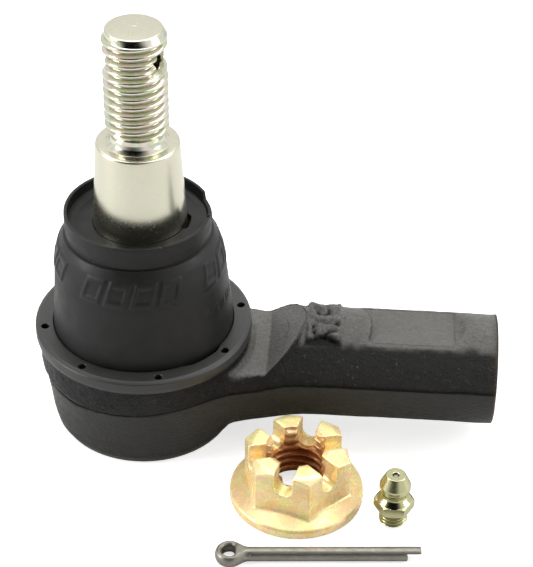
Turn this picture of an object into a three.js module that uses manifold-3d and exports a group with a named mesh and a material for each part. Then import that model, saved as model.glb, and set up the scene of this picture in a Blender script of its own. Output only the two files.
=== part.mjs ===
// Tie rod end: a greasable ball joint in a forged socket with a threaded shank, and the loose
// hardware that comes with it. Millimetres, +Z up. The origin is where the stud's axis meets the
// plane that the socket stands on. +X runs along the shank and +Z along the stud.

import * as THREE from 'three';
import { mergeVertices } from 'three/addons/utils/BufferGeometryUtils.js';
import Module from 'manifold-3d';

const wasm = await Module();
wasm.setup();

// ---- driving dimensions ---------------------------------------------------------------------

const GAP = 0.05;              // running or assembly clearance between neighbouring pieces

const BALL_R = 12.5;
const BALL_Z = 18.5;           // height of the ball's centre, the point that the stud tilts about
const BALL_FLAT_Z = 10;        // the ball's underside is cut flat
const BEARING_GAP = 0.15;      // between the ball and its bearings

const STUD_TOP = 102.6;
const NECK_R = 8;
const THREAD_R = 7;            // M14 x 2
const THREAD_MINOR_R = 5.85;
const TAPER_TOP_Z = 75;
const TAPER_TOP_R = 9.25;
const TAPER_BOTTOM_Z = 51.5;
const TAPER_SLOPE = 1 / 16;    // 1:8 on the diameter
const PIN_HOLE_Z = 95.6;
const PIN_HOLE_R = 2;
const PIN_HOLE_TURN = -14;     // degrees from +X to the hole's axis

const SOCKET_R = 24.3;         // under the boot's ring
const SOCKET_BASE_R = 20.9;
const SOCKET_TOP_Z = 23.85;
const PARTING_Z = 17.4;
const NECK_TOP_Z = 29.5;       // the socket's neck inside the boot
const BORE_R = 17.05;

const SHANK_Z = 16.6;
const SHANK_R = 12.83;
const SHANK_END = 82;
const ROD_HOLE_R = 7.2;        // minor radius of the M16 x 1.5 hole for the tie rod
const ROD_HOLE_DEPTH = 46;
const WRENCH_FLATS = 22;       // across the two flats
const FLAT_START = 51.5;
const FLAT_END = 72.2;

const NECK_FLAT_Z = 21.2;      // flat on top of the neck between the socket and the shank
const NECK_FLAT_END = 29.1;    // from here the shank's end slants up at 45 degrees
// Sections of the neck: [x, half width, height above the shank's axis, height of its underside]
const NECK_SECTIONS = [
  [14, 18.2, 7, 1.8], [21, 15.4, 7.8, 1.8], [25, 14.1, 9, 2.4], [30, 12.95, 11.2, 2.6],
  [35, 12.83, 12.6, 3.3], [41, 12.83, 12.83, 3.77],
];
const MARK_R = 13.6;           // raised patch on top of the shank
const MARK_X = [38.2, 45.6];
const MARK_Y = [-7, 8];

const PLATE_R = 17.9;
const PORT_R = 2.9;            // minor radius of the 1/4-28 grease port
const PORT_X = -7.5;

const RING_R = 25.1;
const RING_TOP_Z = 27.2;
const RING_HOLES = 8;
const RING_HOLE_R = 0.65;
const RING_HOLE_CIRCLE = 22.9;
const RING_HOLE_TURN = 14.9;   // degrees from +X to the first hole

const BELL_R = 20.8;           // widest part of the boot
const RIM_R = 16.54;
const RIM_TOP_Z = 57.3;
const RIM_INNER_R = 15.7;
const BOOT_FLOOR_Z = 54.6;     // recessed top face of the boot, round the stud

const NUT_AT = [37.6, -28.1];
const NUT_TURN = 15;           // degrees from -Y to the nearest corner
const NUT_FLATS = 21.6;
const NUT_FLANGE_R = 15.2;
const NUT_HEIGHT = 14;
const NUT_CROWN_R = 10.4;      // top of the chamfered prongs
const SLOT_WIDTH = 4.3;
const SLOT_BOTTOM_Z = 8.4;

const FITTING_AT = [59.6, -35.6];
const FITTING_HEIGHT = 14;
const FITTING_FLATS = 7.94;
const FITTING_HEX_Z = [4.7, 7.1];
const FITTING_THREAD_R = 3.15;
const FITTING_BORE_R = 1.5;
const FITTING_BALL_R = 1.25;
const FITTING_BALL_Z = 12.58;

const PIN_AT = [21, -50.6];    // tip of the cotter pin's eye
const PIN_TURN = 4.5;          // degrees from +X to its legs
const PIN_R = 1.6;
const PIN_LENGTH = 45;
const PIN_SHORT_LEG = 42;
const PIN_EYE_R = 3.2;
const PIN_EYE_HOLE_R = 1.6;
const PIN_SPLIT_TURN = 55;     // degrees that the legs' split leans towards the short leg

// ---- materials ------------------------------------------------------------------------------

const paint = (color, roughness, metalness) =>
  new THREE.MeshStandardMaterial({ color, roughness, metalness });

const blackForging = paint(0x2a2a29, 0.62, 0.3);
const zincSteel = paint(0xc9c7b4, 0.32, 1.0);
const goldZinc = paint(0xe0b860, 0.3, 1.0);
const plainSteel = paint(0x7c7b76, 0.45, 1.0);
const springSteel = paint(0x5f6062, 0.4, 1.0);
const blackRubber = paint(0x1c1c1c, 0.6, 0.0);
const satinBlack = paint(0x303030, 0.45, 0.4);
const bearingPlastic = paint(0xd8d2bf, 0.5, 0.0);

// ---- solids ---------------------------------------------------------------------------------

function signedVolume(position, index) {
  const a = new THREE.Vector3();
  const b = new THREE.Vector3();
  const c = new THREE.Vector3();
  let volume = 0;
  for (let i = 0; i < index.length; i += 3) {
    a.fromBufferAttribute(position, index[i]);
    b.fromBufferAttribute(position, index[i + 1]);
    c.fromBufferAttribute(position, index[i + 2]);
    volume += a.dot(b.cross(c)) / 6;
  }
  return volume;
}

// A closed geometry as a solid, with its faces turned outwards.
function solid(geometry) {
  const bare = geometry.clone();
  bare.deleteAttribute('normal');
  bare.deleteAttribute('uv');
  const merged = mergeVertices(bare, 1e-4);
  const position = merged.getAttribute('position');
  const triangles = [];
  const index = merged.index.array;
  for (let i = 0; i < index.length; i += 3) {
    const [a, b, c] = [index[i], index[i + 1], index[i + 2]];
    if (a !== b && b !== c && c !== a) triangles.push(a, b, c);
  }
  if (signedVolume(position, triangles) < 0) triangles.reverse();
  const mesh = new wasm.Mesh({
    numProp: 3,
    vertProperties: new Float32Array(position.array),
    triVerts: new Uint32Array(triangles),
  });
  return new wasm.Manifold(mesh);
}

function meshOf(name, body, material) {
  const result = body.getMesh();
  const geometry = new THREE.BufferGeometry();
  geometry.setAttribute('position', new THREE.BufferAttribute(result.vertProperties, 3));
  geometry.setIndex(new THREE.BufferAttribute(result.triVerts, 1));
  geometry.computeVertexNormals();
  const mesh = new THREE.Mesh(geometry, material);
  mesh.name = name;
  return mesh;
}

const corner = ([r, z]) => new THREE.Vector2(r, z);

// A ring or a round bar about +Z from an outline of [radius, height] points.
function turned(outline, segments) {
  const points = outline.map(corner);
  const onAxis = outline[0][0] === 0 && outline.at(-1)[0] === 0;
  if (!onAxis) points.push(points[0].clone());
  const geometry = new THREE.LatheGeometry(points, segments);
  geometry.rotateX(Math.PI / 2);
  return solid(geometry);
}

// Points of a round stretch of an outline about [0, height], between two angles from the horizontal.
function arc(radius, height, from, to, steps) {
  const points = [];
  for (let i = 0; i <= steps; i += 1) {
    const angle = THREE.MathUtils.degToRad(from + ((to - from) * i) / steps);
    points.push([radius * Math.cos(angle), height + radius * Math.sin(angle)]);
  }
  return points;
}

function rodAlongX(radius, from, to, segments) {
  const geometry = new THREE.CylinderGeometry(radius, radius, to - from, segments);
  geometry.rotateZ(Math.PI / 2);
  geometry.translate((from + to) / 2, 0, 0);
  return solid(geometry);
}

function uprightRod(radius, from, to, segments) {
  const geometry = new THREE.CylinderGeometry(radius, radius, to - from, segments);
  geometry.rotateX(Math.PI / 2);
  geometry.translate(0, 0, (from + to) / 2);
  return solid(geometry);
}

function box([x0, y0, z0], [x1, y1, z1]) {
  const geometry = new THREE.BoxGeometry(x1 - x0, y1 - y0, z1 - z0);
  geometry.translate((x0 + x1) / 2, (y0 + y1) / 2, (z0 + z1) / 2);
  return solid(geometry);
}

// An outline of [x, y] points pulled up from one height to another.
function pulledUp(outline, from, to) {
  const shape = new THREE.Shape(outline.map(corner));
  const geometry = new THREE.ExtrudeGeometry(shape, { depth: to - from, bevelEnabled: false });
  geometry.translate(0, 0, from);
  return solid(geometry);
}

function hexagon(acrossFlats, from, to) {
  const geometry = new THREE.CylinderGeometry(
    acrossFlats / Math.sqrt(3), acrossFlats / Math.sqrt(3), to - from, 6,
  );
  geometry.rotateX(Math.PI / 2);
  geometry.translate(0, 0, (from + to) / 2);
  return solid(geometry);
}

const taperRadius = (z) => TAPER_TOP_R + (TAPER_TOP_Z - z) * TAPER_SLOPE;

// ---- socket side ----------------------------------------------------------------------------

// A thin slice across the neck: square-shouldered near the socket and round at the shank.
function neckSlice([x, halfWidth, rise, foot]) {
  const steps = 36;
  const squareness = x < 32 ? 2.3 : 2;
  const outline = [];
  for (let i = 0; i < steps; i += 1) {
    const angle = (2 * Math.PI * i) / steps;
    const [cos, sin] = [Math.cos(angle), Math.sin(angle)];
    const power = 2 / squareness;
    const tall = sin > 0 ? rise : SHANK_Z - foot;
    const across = halfWidth * Math.sign(cos) * Math.abs(cos) ** power;
    outline.push([across, tall * Math.sign(sin) * Math.abs(sin) ** power]);
  }
  return pulledUp(outline, x, x + 0.01).rotate([90, 0, 90]).translate([0, 0, SHANK_Z]);
}

function neck() {
  const slices = NECK_SECTIONS.map(neckSlice);
  const pieces = slices.slice(1).map((slice, i) => wasm.Manifold.hull([slices[i], slice]));
  return pieces.reduce((whole, piece) => whole.add(piece));
}

function housing() {
  const socketOutline = [
    [16, 0], [SOCKET_BASE_R - 0.7, 0], [SOCKET_BASE_R, 0.7], [22, 4], [22.6, 9],
    [23.2, PARTING_Z - 0.3], [SOCKET_R - 0.2, PARTING_Z], [SOCKET_R, 18.5],
    [SOCKET_R, SOCKET_TOP_Z], [BORE_R + 0.15, SOCKET_TOP_Z], [16.6, NECK_TOP_Z], [14.2, NECK_TOP_Z],
    [13.1, 26.3], [BORE_R, 22.3], [BORE_R, 3.45], [PLATE_R + GAP, 3.45],
    [PLATE_R + GAP, 1.3], [16, 1.3],
  ];
  const socket = turned(socketOutline, 56);

  const shankOutline = [
    [0, 40.9], [SHANK_R, 40.9], [SHANK_R, SHANK_END - 0.4], [SHANK_R - 0.4, SHANK_END], [0, SHANK_END],
  ];
  const shank = turned(shankOutline, 40).rotate([0, 90, 0]).translate([0, 0, SHANK_Z]);
  const mark = rodAlongX(MARK_R, MARK_X[0], MARK_X[1], 40)
    .translate([0, 0, SHANK_Z])
    .intersect(box([MARK_X[0] - 1, MARK_Y[0], SHANK_Z], [MARK_X[1] + 1, MARK_Y[1], SHANK_Z + MARK_R + 1]));
  const overNeck = pulledUp([
    [10, NECK_FLAT_Z], [NECK_FLAT_END, NECK_FLAT_Z], [NECK_FLAT_END + 12, NECK_FLAT_Z + 12], [10, 34],
  ], -20, 20).rotate([90, 0, 0]);
  const inside = uprightRod(BORE_R + 2, -1, SOCKET_TOP_Z + 8, 56);

  const flat = WRENCH_FLATS / 2;
  const slantedFlat = [[FLAT_START + 1.6, -14], [FLAT_END, -14], [FLAT_END, 14], [FLAT_START - 3, 14]];
  const upper = pulledUp(slantedFlat, SHANK_Z + flat, SHANK_Z + 14);
  const lower = pulledUp(slantedFlat, SHANK_Z - 14, SHANK_Z - flat);

  const rodHole = rodAlongX(ROD_HOLE_R, SHANK_END - ROD_HOLE_DEPTH, SHANK_END + 2, 28)
    .translate([0, 0, SHANK_Z]);
  const mouthOutline = [[0, -0.6], [ROD_HOLE_R - 0.4, -0.6], [ROD_HOLE_R + 1.8, 1.6], [0, 1.6]];
  const mouth = turned(mouthOutline, 28).rotate([0, 90, 0]).translate([SHANK_END - 0.8, 0, SHANK_Z]);

  return socket
    .add(neck().add(shank).add(mark).subtract(overNeck).subtract(inside))
    .subtract(upper)
    .subtract(lower)
    .subtract(rodHole)
    .subtract(mouth);
}

// The closing plate is dished so that its middle is flush with the socket's rolled edge. The
// grease port's boss stands on its inside.
function coverPlate() {
  const dish = turned([
    [0, 0], [13.6, 0], [15.3, 1.35], [PLATE_R, 1.35], [PLATE_R, 3.4],
    [14.9, 3.4], [13, 2.3], [0, 2.3],
  ], 44);
  const boss = uprightRod(4.4, 1, 5.2, 20).translate([PORT_X, 0, 0]);
  const port = uprightRod(PORT_R, -1, 7, 20).translate([PORT_X, 0, 0]);
  return dish.add(boss).subtract(port);
}

function preloadSpring() {
  return turned([[16.7, 3.5], [16.7, 4.5], [12.7, 6.45], [12.7, 5.45]], 36);
}

// The cup under the ball, pushed up by the preload spring.
function lowerBearing() {
  const inner = arc(BALL_R + BEARING_GAP, BALL_Z, -4, -58, 6);
  return turned([[6.5, 6.5], [BORE_R - GAP, 6.5], [BORE_R - GAP, 17.5], ...inner], 36);
}

function upperBearing() {
  const inner = arc(BALL_R + BEARING_GAP, BALL_Z, 31, -2, 4);
  return turned([[BORE_R - GAP, 18.1], [BORE_R - GAP, 22.2], [13.2, 26.1], [11.9, 26.1], ...inner], 36);
}

function retainingRing() {
  let ring = turned([
    [22.4, SOCKET_TOP_Z + GAP], [RING_R, SOCKET_TOP_Z + GAP], [RING_R, RING_TOP_Z - 0.7],
    [RING_R - 0.7, RING_TOP_Z], [BELL_R + 0.45, RING_TOP_Z], [BELL_R + 0.1, RING_TOP_Z - 0.4],
    [BELL_R + 0.1, 25.2], [22.4, 25.2],
  ], 48);
  for (let i = 0; i < RING_HOLES; i += 1) {
    const angle = THREE.MathUtils.degToRad(RING_HOLE_TURN + (360 / RING_HOLES) * i);
    const at = [RING_HOLE_CIRCLE * Math.cos(angle), RING_HOLE_CIRCLE * Math.sin(angle), 0];
    ring = ring.subtract(uprightRod(RING_HOLE_R, SOCKET_TOP_Z - 1, RING_TOP_Z + 1, 8).translate(at));
  }
  return ring;
}

// ---- boot -----------------------------------------------------------------------------------

const LIP_RING_R = 12.5;       // the wire ring sits under the boot's lip
const LIP_RING_Z = 51.3;

function dustBoot() {
  const lipR = (z) => taperRadius(z) + GAP;
  return turned([
    [BORE_R + 0.3, SOCKET_TOP_Z + GAP], [22.3, SOCKET_TOP_Z + GAP], [22.3, 25.1],
    [BELL_R, 25.1], [BELL_R, 28], [20.3, 34], [19.8, 40], [18.9, 46], [17.5, 51.4],
    [RIM_R, 51.9], [RIM_R, RIM_TOP_Z - 0.3], [RIM_R - 0.3, RIM_TOP_Z], [RIM_INNER_R, RIM_TOP_Z],
    [RIM_INNER_R - 0.1, BOOT_FLOOR_Z + 0.3], [RIM_INNER_R - 0.5, BOOT_FLOOR_Z],
    [lipR(BOOT_FLOOR_Z), BOOT_FLOOR_Z], [lipR(53), 53], [11.6, 52.2], [15.2, 52.2],
    [16.4, 49], [17.4, 44], [18, 38],
    [18.6, 32], [18.4, 26.4], [BORE_R + 0.3, 25.4],
  ], 44);
}

// The wire ring that grips the lip from inside.
function lipRing() {
  const wire = arc(0.75, 0, 0, 315, 7).map(([x, z]) => [LIP_RING_R + x, LIP_RING_Z + z]);
  return turned(wire, 36);
}

// ---- stud -----------------------------------------------------------------------------------

function ballStud() {
  const ballStart = -THREE.MathUtils.radToDeg(Math.asin((BALL_Z - BALL_FLAT_Z) / BALL_R));
  const ballEnd = THREE.MathUtils.radToDeg(Math.acos(NECK_R / BALL_R));
  const outline = [
    [0, BALL_FLAT_Z], ...arc(BALL_R, BALL_Z, ballStart, ballEnd, 9),
    [NECK_R, 47.5], [9.2, 50.2], [taperRadius(TAPER_BOTTOM_Z), TAPER_BOTTOM_Z],
    [TAPER_TOP_R, TAPER_TOP_Z - 0.3], [TAPER_TOP_R - 0.3, TAPER_TOP_Z],
    [6.6, TAPER_TOP_Z + 1.2], [THREAD_MINOR_R, TAPER_TOP_Z + 2], [THREAD_MINOR_R, TAPER_TOP_Z + 3.4],
    [THREAD_R, TAPER_TOP_Z + 4.6], [THREAD_R, STUD_TOP - 1], [THREAD_R - 1, STUD_TOP], [0, STUD_TOP],
  ];
  const hole = rodAlongX(PIN_HOLE_R, -10, 10, 14)
    .rotate([0, 0, PIN_HOLE_TURN])
    .translate([0, 0, PIN_HOLE_Z]);
  return turned(outline, 36).subtract(hole);
}

// ---- loose hardware -------------------------------------------------------------------------

function castleNut() {
  const flange = turned([
    [0, 0], [NUT_FLANGE_R - 0.3, 0], [NUT_FLANGE_R, 0.3], [NUT_FLANGE_R, 2],
    [NUT_FLANGE_R - 0.3, 2.3], [10.5, 4.3], [0, 4.3],
  ], 40);
  const crown = turned([[0, 1], [14, 1], [14, 12], [NUT_CROWN_R, NUT_HEIGHT], [0, NUT_HEIGHT]], 36);
  let nut = hexagon(NUT_FLATS, 1, NUT_HEIGHT).intersect(crown).add(flange);
  for (let i = 0; i < 3; i += 1) {
    const floor = SLOT_BOTTOM_Z + SLOT_WIDTH / 2;
    const slot = box([-15, -SLOT_WIDTH / 2, floor], [15, SLOT_WIDTH / 2, NUT_HEIGHT + 1])
      .add(rodAlongX(SLOT_WIDTH / 2, -15, 15, 12).translate([0, 0, floor]));
    nut = nut.subtract(slot.rotate([0, 0, 60 * i]));
  }
  nut = nut.subtract(uprightRod(THREAD_MINOR_R + 0.2, -1, NUT_HEIGHT + 1, 28));
  return nut.rotate([0, 0, NUT_TURN]).translate([...NUT_AT, 0]);
}

function fittingBody() {
  const headOutline = [
    [0.6, FITTING_HEIGHT], [FITTING_BORE_R, 12.7], [FITTING_BORE_R, 1.1], [1, 0.5], [1, 0],
    [2.1, 0], [FITTING_THREAD_R, 1.1], [FITTING_THREAD_R, FITTING_HEX_Z[0]],
    [3.7, FITTING_HEX_Z[0]], [3.7, FITTING_HEX_Z[1] + 0.2],
    [2.8, 8.2], [2.8, 8.8], [3.5, 10.4], [3.5, 11.2], [2.2, FITTING_HEIGHT],
  ];
  const hex = hexagon(FITTING_FLATS, FITTING_HEX_Z[0], FITTING_HEX_Z[1])
    .rotate([0, 0, 30])
    .subtract(uprightRod(2.6, FITTING_HEX_Z[0] - 1, FITTING_HEX_Z[1] + 1, 24));
  const body = turned(headOutline, 24).add(hex);
  return body.translate([...FITTING_AT, 0]);
}

function fittingBall() {
  const geometry = new THREE.SphereGeometry(FITTING_BALL_R, 14, 8);
  geometry.translate(FITTING_AT[0], FITTING_AT[1], FITTING_BALL_Z);
  return solid(geometry);
}

// A coil of round wire about +Z.
function coil(radius, wire, from, to, turns) {
  class Helix extends THREE.Curve {
    getPoint(t) {
      const angle = 2 * Math.PI * turns * t;
      const rise = from + wire + (to - from - 2 * wire) * t;
      return new THREE.Vector3(radius * Math.cos(angle), radius * Math.sin(angle), rise);
    }
  }
  const section = new THREE.Shape();
  section.absarc(0, 0, wire, 0, 2 * Math.PI, false);
  return solid(new THREE.ExtrudeGeometry(section, {
    steps: Math.round(turns * 10), curveSegments: 2, extrudePath: new Helix(), bevelEnabled: false,
  }));
}

function fittingSpring() {
  return coil(1.05, 0.2, 1.3, FITTING_BALL_Z - FITTING_BALL_R - 0.05, 7).translate([...FITTING_AT, 0]);
}

// Half-round wire bent double: two legs side by side and a round eye, lying flat.
function cotterPin() {
  const seam = 0.05;
  const eyeX = PIN_EYE_R;
  const legStart = eyeX + 2;
  const bar = rodAlongX(PIN_R, legStart, PIN_LENGTH, 16);
  const longSide = box([0, seam, -3], [PIN_LENGTH + 1, 3, 3]).rotate([PIN_SPLIT_TURN, 0, 0]);
  const shortSide = box([0, -3, -3], [PIN_SHORT_LEG, -seam, 3]).rotate([PIN_SPLIT_TURN, 0, 0]);
  const longLeg = bar.intersect(longSide);
  const shortLeg = bar.intersect(shortSide);
  const eye = turned([
    [PIN_EYE_HOLE_R, -1.3], [PIN_EYE_R - 0.5, -1.3], [PIN_EYE_R, -0.6],
    [PIN_EYE_R, 0.6], [PIN_EYE_R - 0.5, 1.3], [PIN_EYE_HOLE_R, 1.3],
  ], 24).translate([eyeX, 0, 0]);
  const pin = eye.add(longLeg).add(shortLeg);
  return pin.rotate([0, 0, PIN_TURN]).translate([...PIN_AT, PIN_R]);
}

// ---- assembly -------------------------------------------------------------------------------

const group = new THREE.Group();
group.name = 'tie_rod_end';
group.add(
  meshOf('socket_housing', housing(), blackForging),
  meshOf('cover_plate', coverPlate(), plainSteel),
  meshOf('preload_spring', preloadSpring(), springSteel),
  meshOf('lower_bearing', lowerBearing(), bearingPlastic),
  meshOf('upper_bearing', upperBearing(), bearingPlastic),
  meshOf('ball_stud', ballStud(), zincSteel),
  meshOf('dust_boot', dustBoot(), blackRubber),
  meshOf('boot_retaining_ring', retainingRing(), satinBlack),
  meshOf('boot_lip_ring', lipRing(), springSteel),
  meshOf('castle_nut', castleNut(), goldZinc),
  meshOf('grease_fitting_body', fittingBody(), zincSteel),
  meshOf('fitting_check_ball', fittingBall(), springSteel),
  meshOf('fitting_spring', fittingSpring(), springSteel),
  meshOf('cotter_pin', cotterPin(), plainSteel),
);

export default group;
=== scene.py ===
"""Looks of the tie rod end: a forged socket and shank, a rubber boot, a threaded stud, and the
loose nut, grease fitting and cotter pin in front of it. Shapes are worked out in millimetres in
the part's own frame and turned to metres when each mesh is made."""

import math

import bpy
import numpy as np
from mathutils import Matrix, Vector


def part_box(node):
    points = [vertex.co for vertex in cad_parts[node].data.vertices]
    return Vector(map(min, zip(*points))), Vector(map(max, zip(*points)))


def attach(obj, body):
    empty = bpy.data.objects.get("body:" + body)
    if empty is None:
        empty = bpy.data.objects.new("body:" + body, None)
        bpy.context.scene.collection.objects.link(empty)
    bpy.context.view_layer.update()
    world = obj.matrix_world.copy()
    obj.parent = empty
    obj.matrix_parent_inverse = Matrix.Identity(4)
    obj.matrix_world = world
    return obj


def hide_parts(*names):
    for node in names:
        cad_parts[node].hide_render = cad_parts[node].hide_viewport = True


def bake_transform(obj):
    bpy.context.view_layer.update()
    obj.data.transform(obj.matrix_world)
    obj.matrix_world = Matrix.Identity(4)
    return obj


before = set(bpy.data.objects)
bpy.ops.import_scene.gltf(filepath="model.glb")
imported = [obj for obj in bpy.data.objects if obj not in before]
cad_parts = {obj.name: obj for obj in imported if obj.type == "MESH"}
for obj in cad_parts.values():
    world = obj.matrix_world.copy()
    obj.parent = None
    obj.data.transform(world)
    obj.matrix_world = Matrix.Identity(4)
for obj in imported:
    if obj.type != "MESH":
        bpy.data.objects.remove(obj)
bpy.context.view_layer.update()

MM = 0.001


# ---- sizes read from the frame ----

def corners(node):
    """Lowest and highest corner of a CAD node, in millimetres."""
    low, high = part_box(node)
    return np.array(low) / MM, np.array(high) / MM


housing_low, housing_high = corners("socket_housing")
stud_top = corners("ball_stud")[1][2]
ring_low, ring_high = corners("boot_retaining_ring")
nut_low, nut_high = corners("castle_nut")
fitting_low, fitting_high = corners("grease_fitting_body")
pin_low, pin_high = corners("cotter_pin")
ball_low, ball_high = corners("fitting_check_ball")

BALL_R = 12.5
BALL_Z = 18.5
SHANK_END = housing_high[0]
SHANK_R = 12.83
SHANK_Z = 16.6
SOCKET_R = 24.3
RING_R = ring_high[0]
RING_TOP = ring_high[2]
RING_FOOT = ring_low[2]
THREAD_R = 7.0
THREAD_PITCH = 2.0
THREAD_DEPTH = 1.1
SHOULDER_Z = 75.0
SHOULDER_R = 9.25
TAPER_SLOPE = 1 / 16
NUT_AT = (nut_low + nut_high) / 2
NUT_TOP = nut_high[2]
NUT_FLANGE_R = (nut_high[0] - nut_low[0]) / 2
FITTING_AT = (fitting_low + fitting_high) / 2
FITTING_TOP = fitting_high[2]


def taper_radius(z):
    """Radius of the stud's 1:8 taper at a height."""
    return SHOULDER_R + (SHOULDER_Z - z) * TAPER_SLOPE


# ---- mesh making ----

def make_object(name, vertices, faces, smooth_angle=180):
    """A mesh object from points in millimetres. Edges sharper than smooth_angle degrees stay crisp."""
    mesh = bpy.data.meshes.new(name)
    vertices = np.asarray(vertices, np.float32) * MM
    if isinstance(faces, np.ndarray):
        mesh.vertices.add(len(vertices))
        mesh.vertices.foreach_set("co", vertices.ravel())
        mesh.loops.add(faces.size)
        mesh.loops.foreach_set("vertex_index", faces.ravel().astype(np.int32))
        mesh.polygons.add(len(faces))
        starts = np.arange(0, faces.size, faces.shape[1], dtype=np.int32)
        mesh.polygons.foreach_set("loop_start", starts)
    else:
        mesh.from_pydata(vertices.tolist(), [], faces)
    mesh.update(calc_edges=True)
    mesh.validate()
    crisp(mesh, smooth_angle)
    piece = bpy.data.objects.new(name, mesh)
    bpy.context.scene.collection.objects.link(piece)
    return piece


def crisp(mesh, angle):
    """Shades the mesh smooth, apart from edges sharper than angle degrees."""
    mesh.polygons.foreach_set("use_smooth", np.ones(len(mesh.polygons), bool))
    if angle < 180:
        mesh.set_sharp_from_angle(angle=math.radians(angle))
    mesh.update()


def read_vectors(values, key):
    out = np.zeros(len(values) * 3, np.float32)
    values.foreach_get(key, out)
    return out.reshape(-1, 3).astype(float)


def points_of(mesh):
    return read_vectors(mesh.vertices, "co") / MM


def normals_of(mesh):
    return read_vectors(mesh.vertex_normals, "vector")


def set_points(mesh, points):
    mesh.vertices.foreach_set("co", (np.asarray(points) * MM).astype(np.float32).ravel())
    mesh.update()


def paint(mesh, **layers):
    """Keeps a number for each vertex under each name, for a material to read."""
    for name, values in layers.items():
        attribute = mesh.attributes.new(name, "FLOAT", "POINT")
        attribute.data.foreach_set("value", np.asarray(values, np.float32))


def turned_faces(rows, columns, closed):
    """Quads of a grid that runs along an outline and round the axis."""
    i, j = np.meshgrid(np.arange(rows if closed else rows - 1), np.arange(columns), indexing="ij")
    following = (i + 1) % rows
    beside = (j + 1) % columns
    a = i * columns + j
    b = i * columns + beside
    c = following * columns + beside
    d = following * columns + j
    return np.stack([a, b, c, d], -1).reshape(-1, 4)


def turned_points(outline, columns, radius_of=None):
    """Grid of points from an outline of (radius, height). radius_of(r, angle, z) may reshape it."""
    outline = np.asarray(outline, float)
    angle = np.arange(columns) * 2 * math.pi / columns
    r = np.repeat(outline[:, :1], columns, 1)
    z = np.repeat(outline[:, 1:], columns, 1)
    angle = np.repeat(angle[None, :], len(outline), 0)
    if radius_of:
        r = radius_of(r, angle, z)
    return np.stack([r * np.cos(angle), r * np.sin(angle), z], -1).reshape(-1, 3)


def turned(name, outline, columns=192, closed=True, radius_of=None, smooth_angle=32):
    """A ring whose outline runs up its outside, or with closed=False a bar capped at both ends."""
    points = turned_points(outline, columns, radius_of)
    faces = turned_faces(len(outline), columns, closed)
    if closed:
        return make_object(name, points, faces, smooth_angle)
    quads = [list(map(int, f)) for f in faces]
    bottom = list(range(columns))[::-1]
    last = (len(outline) - 1) * columns
    top = list(range(last, last + columns))
    return make_object(name, points, quads + [bottom, top], smooth_angle)


def rounded(outline, radius, steps=5, closed=True):
    """An outline with each corner turned into an arc of about that radius."""
    points = [np.array(p[:2], float) for p in outline]
    radii = [p[2] if len(p) > 2 else radius for p in outline]
    result = []
    count = len(points)
    for i, here in enumerate(points):
        if not closed and i in (0, count - 1):
            result.append(here)
            continue
        before, after = points[i - 1] - here, points[(i + 1) % count] - here
        room = 0.45 * min(np.linalg.norm(before), np.linalg.norm(after))
        unit_before = before / np.linalg.norm(before)
        unit_after = after / np.linalg.norm(after)
        half = math.acos(np.clip(unit_before @ unit_after, -1, 1)) / 2
        reach = min(radii[i] / max(math.tan(half), 1e-3), room)
        if reach < 1e-3 or half > 1.55:
            result.append(here)
            continue
        start, end = here + unit_before * reach, here + unit_after * reach
        for t in np.linspace(0, 1, steps):
            result.append((1 - t) ** 2 * start + 2 * t * (1 - t) * here + t * t * end)
    return np.array(result)


def dense(outline, step, closed=True):
    """The same outline with no two neighbouring points further apart than step."""
    outline = np.asarray(outline, float)
    result = []
    count = len(outline)
    for i in range(count if closed else count - 1):
        a, b = outline[i], outline[(i + 1) % count]
        pieces = max(1, math.ceil(np.linalg.norm(b - a) / step))
        result += [a + (b - a) * k / pieces for k in range(pieces)]
    if not closed:
        result.append(outline[-1])
    return np.array(result)


def cut(piece, cutters, smooth_angle=32):
    """Cuts the cutters out of piece and removes them."""
    for cutter in cutters:
        modifier = piece.modifiers.new("cut", "BOOLEAN")
        modifier.operation = "DIFFERENCE"
        modifier.solver = "EXACT"
        modifier.object = cutter
    graph = bpy.context.evaluated_depsgraph_get()
    result = bpy.data.meshes.new_from_object(piece.evaluated_get(graph))
    piece.modifiers.clear()
    piece.data = result
    for cutter in cutters:
        bpy.data.objects.remove(cutter)
    crisp(result, smooth_angle)


# ---- noise, for forged skins and worn surfaces ----

def noise(points, size, seed=0):
    """Smooth noise from -1 to 1 whose lumps are about size millimetres across."""
    q = np.asarray(points) / size + seed * 17.31
    cell = np.floor(q).astype(np.int64)
    f = q - cell
    f = f * f * (3 - 2 * f)
    total = np.zeros(len(q))
    for corner in range(8):
        step = np.array([corner & 1, corner >> 1 & 1, corner >> 2 & 1])
        i = cell + step
        h = (i[:, 0] * 73856093) ^ (i[:, 1] * 19349663) ^ (i[:, 2] * 83492791)
        h = (h ^ (h >> 13)) & 0x7FFFFFFF
        h = (h * (h * h % 65537 * 15731 + 789221) + 1376312589) & 0x7FFFFFFF
        weight = np.prod(np.where(step, f, 1 - f), axis=1)
        total += weight * (h / 0x7FFFFFFF * 2 - 1)
    return total


def ramp(value, start, end):
    """0 before start, 1 after end, and smooth between."""
    t = np.clip((value - start) / (end - start), 0, 1)
    return t * t * (3 - 2 * t)


def between(value, low, high, outside, inside):
    """1 from low to high and 0 elsewhere, rising from outside the limits to inside them."""
    rise = ramp(value, low - outside, low + inside)
    return rise * ramp(-value, -high - outside, inside - high)


# ---- solids described by distance, for shapes with fillets ----

def thread_depth(turns, crest=0.16, root=0.9):
    """Depth below the crest, from 0 to 1, at a place counted in turns of the thread."""
    phase = np.abs(turns % 1 - 0.5) * 2
    return ramp(phase, crest, root)


def join(a, b, fillet):
    """Both solids, with a fillet where they meet."""
    h = np.maximum(fillet - np.abs(a - b), 0) / fillet
    return np.minimum(a, b) - h * h * fillet / 4


def overlap(a, b, fillet):
    """What both solids share."""
    return -join(-a, -b, fillet)


def take(a, b, fillet):
    """a with b taken away."""
    return -join(-a, b, fillet)


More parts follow.
